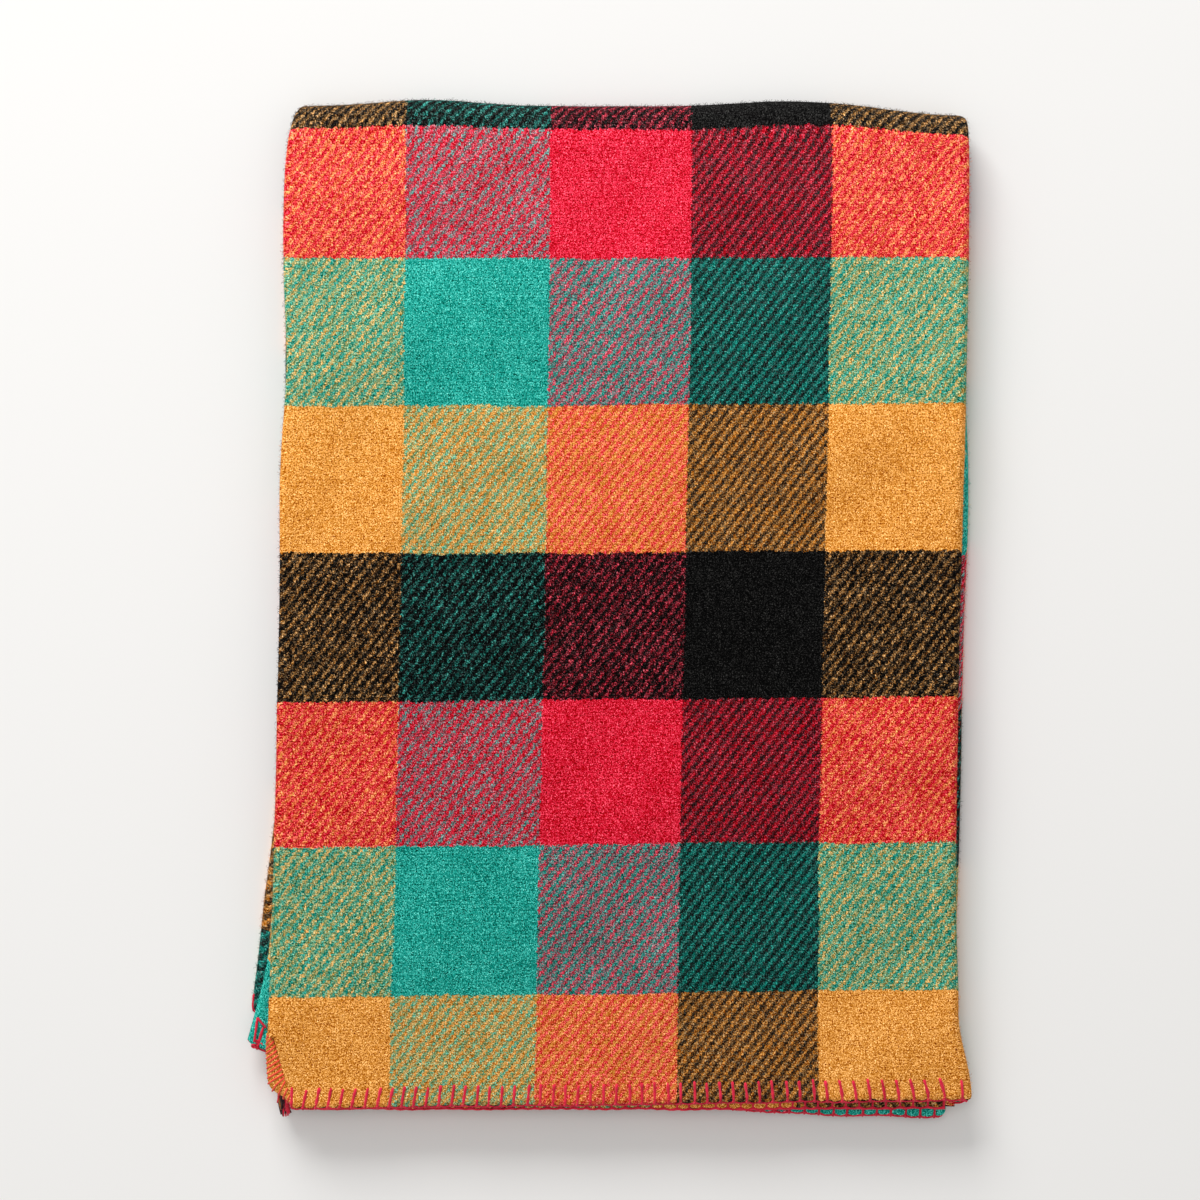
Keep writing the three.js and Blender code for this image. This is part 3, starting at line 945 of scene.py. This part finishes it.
def wool_material():
    n = Nodes("wool_check")
    maps = []
    for map_name in ("Cloth", "Check"):
        node = n.tree.nodes.new("ShaderNodeUVMap")
        node.uv_map = map_name
        maps.append(node.outputs[0])
    cloth, check = maps
    half = (-0.5, -0.5, -0.5)
    # Stripe edges stray by a thread or so.
    stray = n.added(n.noise(cloth, 420, 2.0, 0.7, colour=True), half)
    drift = n.added(n.noise(cloth, 9, 2.0, 0.6, colour=True), half)
    strayed = n.added(check, n.added(n.scaled(stray, (0.060, 0.060, 0)), n.scaled(drift, (0.035, 0.045, 0))))
    stripe, row = n.split(strayed)
    warp_at = n.math("FRACT", n.math("MULTIPLY", stripe, 0.25))
    weft_at = n.math("FRACT", n.math("MULTIPLY", row, 0.25))
    quarters = [0.0, 0.25, 0.5, 0.75]
    covers = [(c,) * 3 for c in COVERS]
    warp = n.ramp(warp_at, zip(quarters, CHECK_COLOURS))
    weft = n.ramp(weft_at, zip(quarters, CHECK_COLOURS))
    warp_covers = n.ramp(warp_at, zip(quarters, covers))
    weft_covers = n.ramp(weft_at, zip(quarters, covers))

    # The twill: each thread floats over two and under two, one thread on from its neighbour.
    ruffle = n.added(cloth, n.scaled(stray, (0.0022, 0.0022, 0)))
    threads = n.scaled(ruffle, (1 / WARP_PITCH, 1 / WEFT_PITCH, 0))
    u, v = n.split(threads)
    sloping = n.math("SINE", n.math("MULTIPLY", n.math("SUBTRACT", u, v), math.pi / 2))
    cell = n.math("ADD", n.math("SUBTRACT", n.math("FLOOR", u), n.math("FLOOR", v)), 0.5)
    stepped = n.math("SINE", n.math("MULTIPLY", cell, math.pi / 2))
    twill = n.math("MULTIPLY_ADD", stepped, 0.60, n.math("MULTIPLY", sloping, 0.35))
    uneven = n.tree.nodes.new("ShaderNodeTexWhiteNoise")
    uneven.noise_dimensions = "2D"
    n.link(n.vector("FLOOR", threads, (0, 0, 0)), uneven.inputs["Vector"])
    uneven = n.math("SUBTRACT", uneven.outputs["Value"], 0.5)
    fleck = n.tree.nodes.new("ShaderNodeTexWhiteNoise")
    fleck.noise_dimensions = "2D"
    n.link(n.vector("FLOOR", n.scaled(ruffle, (1450, 1300, 0)), (0, 0, 0)), fleck.inputs["Vector"])
    fleck = n.math("SUBTRACT", fleck.outputs["Value"], 0.5)
    nap = n.math("SUBTRACT", n.noise(cloth, 700, 3.0, 0.80), 0.5)
    patches = n.math("SUBTRACT", n.noise(n.scaled(cloth, (1.0, 0.6, 1.0)), 150, 3.0, 0.6), 0.5)
    lift = n.math("MULTIPLY_ADD", twill, LIFT["twill"], WARP_SHARE)
    lift = n.math("MULTIPLY_ADD", nap, LIFT["nap"], lift)
    lift = n.math("MULTIPLY_ADD", uneven, LIFT["uneven"], lift)
    lift = n.math("MULTIPLY_ADD", fleck, LIFT["fleck"], lift)
    lift = n.math("MULTIPLY_ADD", patches, LIFT["patches"], lift)
    lift = n.math("ADD", lift, n.math("SUBTRACT", warp_covers, weft_covers))
    shown = n.range(lift, 0.0, 1.0)
    colour = n.mix(shown, weft, warp)

    # Painted shade: each thread is darker along its sides, where it meets its neighbours, and the nap lies
    # over it in pale and dark fibres.
    sides = []
    for coordinate in (v, u):
        from_middle = n.math("MULTIPLY_ADD", n.math("FRACT", coordinate), 2.0, -1.0)
        sides.append(n.math("MULTIPLY", from_middle, from_middle))
    thread = n.math("ADD", sides[0], n.math("MULTIPLY", n.math("SUBTRACT", sides[1], sides[0]), shown))
    grain = n.noise(cloth, 980, 2.0, 0.80)
    combed = n.scaled(n.added(cloth, n.scaled(stray, (0.004, 0.004, 0))), (1.0, 0.6, 1.0))
    fibres = n.noise(combed, 1500, 2.0, 0.7)
    cloud = n.noise(cloth, 26, 4.0, 0.65)
    grain = n.math("SUBTRACT", grain, NOISE_MEAN)
    shade = n.math("MULTIPLY_ADD", grain, SHADE["grain"], n.math("MULTIPLY", uneven, SHADE["uneven"]))
    shade = n.math("MULTIPLY_ADD", fleck, SHADE["fleck"], shade)
    fibres = n.math("SUBTRACT", fibres, NOISE_MEAN)
    shade = n.math("MULTIPLY_ADD", fibres, SHADE["fibres"], shade)
    # Painted shade: darker along each thread's sides.
    shade = n.math("MULTIPLY_ADD", n.math("SUBTRACT", thread, 0.33), SHADE["thread"], shade)
    shade = n.math("MULTIPLY_ADD", n.math("SUBTRACT", cloud, 0.5), SHADE["cloud"], shade)
    # Black wool shows less of it. All the wool is painted paler towards the crosswise fold, as painted
    # sheen, and painted darker towards the upper hem, as painted shade.
    red, green = n.split(colour)
    shade = n.math("MULTIPLY", shade, n.range(n.math("MAXIMUM", red, green), 0.0, 0.5, 0.42, 1.0))
    # Painted sheen: the wool grows paler over the rows next to the crosswise fold.
    shade = n.math("ADD", shade, n.range(row, 4.6, 6.6, 0.0, 0.050))
    # Painted shade: the wool grows darker towards the upper hem.
    colour = n.vector("SCALE", colour, n.range(row, 0.5, 6.0, 0.94, 1.0))
    curl = n.math("ABSOLUTE", n.math("SUBTRACT", n.noise(cloth, 130, 3.0, 0.55), 0.5))
    where = n.range(n.noise(cloth, 60, 1.0, 0.5), 0.48, 0.62, 0.0, 0.10)
    shade = n.math("MULTIPLY_ADD", n.range(curl, 0.010, 0.002), where, shade)
    shade = n.math("MULTIPLY_ADD", n.range(n.voronoi(cloth, 62), 0.045, 0.020), 0.10, shade)
    colour = n.added(colour, n.vector("SCALE", (1.0, 1.0, 0.96), shade))
    colour = n.vector("MAXIMUM", colour, DARKEST)
    n.link(n.scaled(colour, colour), n.shader.inputs["Base Color"])

    relief = n.math("MULTIPLY_ADD", twill, 0.14, n.math("MULTIPLY", thread, -0.25))
    relief = n.math("MULTIPLY_ADD", n.noise(cloth, 480, 3.0, 0.75), 0.42, relief)
    pile = n.bump(relief, 0.0006, 0.5)
    loft = n.bump(n.noise(cloth, 55, 3.0, 0.55), 0.0016, 0.6, pile)
    n.link(loft, n.shader.inputs["Normal"])
    return n.finish(0.95, 0.02, 0.5, 0.02)


def yarn_material(name, colour, deep):
    n = Nodes(name)
    position = n.tree.nodes.new("ShaderNodeTexCoord").outputs["Object"]
    fibres = n.noise(position, 1500, 3.0, 0.7)
    lot = n.noise(position, 90, 2.0, 0.6)
    factor = n.range(n.math("MULTIPLY_ADD", lot, 0.8, fibres), 0.62, 1.12)
    n.link(n.mix(factor, (*deep, 1), (*colour, 1)), n.shader.inputs["Base Color"])
    n.link(n.bump(fibres, 0.0004, 0.7), n.shader.inputs["Normal"])
    return n.finish(0.8, 0.20, 0.5, 0.10)


# ---------------------------------------------------------------- make the pieces
WOOL = wool_material()
RED_YARN = yarn_material("stitch_yarn_red", (0.93, 0.034, 0.085), (0.50, 0.004, 0.024))
CORNER_YARN = yarn_material("stitch_yarn_orange", (0.95, 0.110, 0.060), (0.75, 0.040, 0.030))
DARK_YARN = yarn_material("stitch_yarn_dark", (0.070, 0.008, 0.014), (0.006, 0.004, 0.005))
GOLD_YARN = yarn_material("stitch_yarn_gold", (0.55, 0.20, 0.030), (0.25, 0.07, 0.012))


def blend_halves(piece):
    """Bakes the piece's place into its mesh. It is tied to neither half."""
    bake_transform(piece)


def add_piece(piece, material, body=None, stands_for=()):
    piece.data.materials.append(material)
    if body:
        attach(piece, body)
    else:
        blend_halves(piece)
    if stands_for:
        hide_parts(*stands_for)
    return piece


cloth = add_piece(build_cloth(), WOOL, None, ("lower_half", "upper_half", "fold_bend"))
add_piece(nap_fibres("nap_fibres", ALL_FIBRES), WOOL)
roll = add_piece(corner_roll(), WOOL, "upper")
upper_yarn = add_piece(
    hem_yarn("upper_blanket_stitch", True), RED_YARN, "upper", ("upper_hem_yarn",)
)
lower_yarn = add_piece(
    hem_yarn("lower_blanket_stitch", False), RED_YARN, "lower", ("lower_hem_yarn",)
)
whipping = add_piece(corner_whipping(), CORNER_YARN, "upper")
frayed = add_piece(
    strands("frayed_ends_red", 26, random.Random(51), 0.0016), RED_YARN, "upper", ("yarn_end",)
)
add_piece(strands("frayed_ends_dark", 26, random.Random(52), 0.0018), DARK_YARN, "upper")
add_piece(strands("frayed_ends_gold", 7, random.Random(53), 0.0014), GOLD_YARN, "upper")
knot = add_piece(lower_corner_loops(), RED_YARN, "lower")


# ---------------------------------------------------------------- floor, lights and camera
def add_floor():
    size = 6.0
    corners = [(-size, -size, 0), (size, -size, 0), (size, size, 0), (-size, size, 0)]
    floor = mesh_object("floor", corners, [(0, 1, 2, 3)])
    material = bpy.data.materials.new("floor_paper")
    material.use_nodes = True
    shader = material.node_tree.nodes["Principled BSDF"]
    shader.inputs["Base Color"].default_value = (0.875, 0.865, 0.850, 1)
    shader.inputs["Roughness"].default_value = 0.9
    shader.inputs["Specular IOR Level"].default_value = 0.1
    floor.data.materials.append(material)


def add_light(name, location, target, size, power):
    light = bpy.data.lights.new(name, "AREA")
    light.shape = "RECTANGLE"
    light.size, light.size_y = size
    light.energy = power
    obj = bpy.data.objects.new(name, light)
    obj.location = location
    obj.rotation_euler = (Vector(target) - Vector(location)).to_track_quat("-Z", "Y").to_euler()
    bpy.context.scene.collection.objects.link(obj)


def add_camera():
    data = bpy.data.cameras.new("camera")
    height, span = 2.40, 0.960
    centre_x, centre_y = -0.0084, 0.0084
    data.sensor_width = 36.0
    data.lens = data.sensor_width * (height - 2 * MIDDLE_Z) / span
    camera = bpy.data.objects.new("camera", data)
    camera.location = (centre_x, centre_y, height)
    bpy.context.scene.collection.objects.link(camera)
    bpy.context.scene.camera = camera


def add_world():
    world = bpy.data.worlds.new("soft_sky")
    world.use_nodes = True
    background = world.node_tree.nodes["Background"]
    background.inputs["Color"].default_value = (1.0, 0.995, 0.985, 1)
    background.inputs["Strength"].default_value = 0.48
    bpy.context.scene.world = world


add_floor()
add_world()
add_light("window", (-1.7, 4.8, 2.5), (0, 0, 0), (3.4, 2.2), 308)
add_light("overhead", (-0.4, 0.4, 3.2), (0, 0, 0), (1.6, 1.6), 18)
add_camera()
bpy.context.scene.view_settings.view_transform = "Standard"
